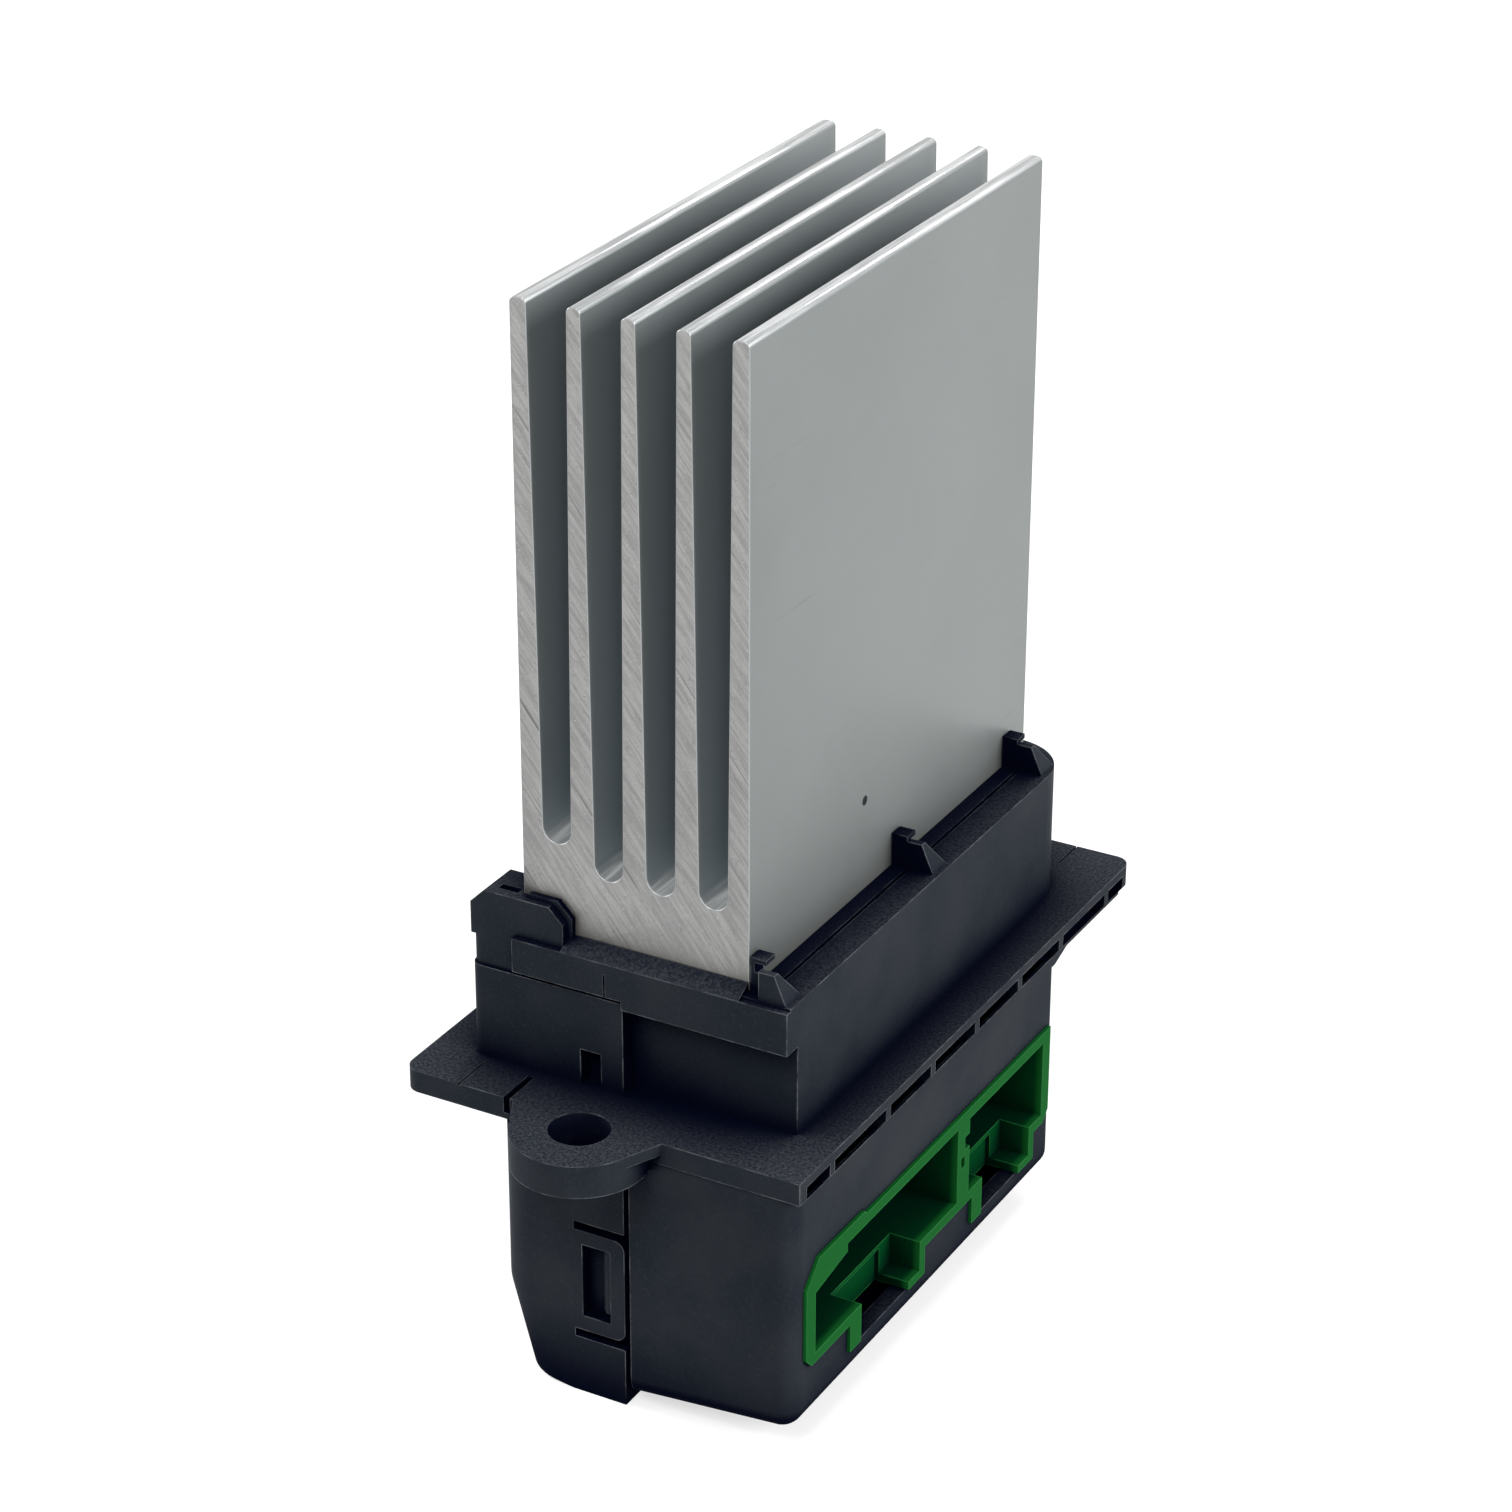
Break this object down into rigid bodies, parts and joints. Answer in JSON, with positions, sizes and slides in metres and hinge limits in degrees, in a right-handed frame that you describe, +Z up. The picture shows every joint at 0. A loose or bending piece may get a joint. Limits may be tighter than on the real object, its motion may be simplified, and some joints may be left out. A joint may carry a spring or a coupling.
{
  "type": "blower motor resistor",
  "caption": "Blower motor resistor module: a finned aluminium heat sink set in a black plastic housing with a mounting flange, screw ears and a green socket block",
  "frame": {"origin": "on the flange's top face, midway between the two screw holes and under the middle of the heat sink", "axes": "+X is the way the sockets face, -Y is the sawn end of the heat sink seen in the picture, +Z runs up along the fins"},
  "size_m": [0.0388, 0.08, 0.0972],
  "materials": {
    "capacitor_1": "aluminium can",
    "capacitor_2": "aluminium can",
    "ceramic_capacitor_1": "fired ceramic",
    "ceramic_capacitor_2": "fired ceramic",
    "ceramic_capacitor_3": "fired ceramic",
    "chip_resistor_1": "dark glaze",
    "chip_resistor_2": "dark glaze",
    "chip_resistor_3": "dark glaze",
    "choke_core": "dark ferrite",
    "choke_winding": "enamelled copper wire",
    "circuit_board": "green solder mask",
    "clamp_screw": "zinc plated",
    "connector_insert": "moulded, dull green",
    "control_chip": "moulded, dull black",
    "heat_sink": "sawn and drawn, satin",
    "heat_sink_screws": "zinc plated",
    "insulating_pad": "soft grey sheet",
    "main_housing": "moulded, dull black",
    "power_terminal_1": "tinned blade",
    "power_terminal_2": "tinned blade",
    "power_transistor_1": "moulded, with a tinned tab",
    "power_transistor_2": "moulded, with a tinned tab",
    "shunt_resistor": "bent resistance strip",
    "side_cover": "moulded, dull black",
    "signal_terminal_1": "tinned pin",
    "signal_terminal_2": "tinned pin",
    "signal_terminal_3": "tinned pin",
    "suppressor_diode": "moulded, dull black",
    "temperature_sensor": "ceramic body",
    "transistor_clamp": "spring steel"
  },
  "bodies": {
    "root": {"capacitor_1": "capacitor_1", "capacitor_2": "capacitor_2", "ceramic_capacitor_1": "ceramic_capacitor_1", "ceramic_capacitor_2": "ceramic_capacitor_2", "ceramic_capacitor_3": "ceramic_capacitor_3", "chip_resistor_1": "chip_resistor_1", "chip_resistor_2": "chip_resistor_2", "chip_resistor_3": "chip_resistor_3", "choke_core": "choke_core", "choke_winding": "choke_winding", "circuit_board": "circuit_board", "clamp_screw": "clamp_screw", "connector_insert": "connector_insert", "control_chip": "control_chip", "heat_sink": "heat_sink", "heat_sink_screws": "heat_sink_screws", "insulating_pad": "insulating_pad", "main_housing": "main_housing", "power_terminal_1": "power_terminal_1", "power_terminal_2": "power_terminal_2", "power_transistor_1": "power_transistor_1", "power_transistor_2": "power_transistor_2", "shunt_resistor": "shunt_resistor", "side_cover": "side_cover", "signal_terminal_1": "signal_terminal_1", "signal_terminal_2": "signal_terminal_2", "signal_terminal_3": "signal_terminal_3", "suppressor_diode": "suppressor_diode", "temperature_sensor": "temperature_sensor", "transistor_clamp": "transistor_clamp"}
  },
  "joints": []
}
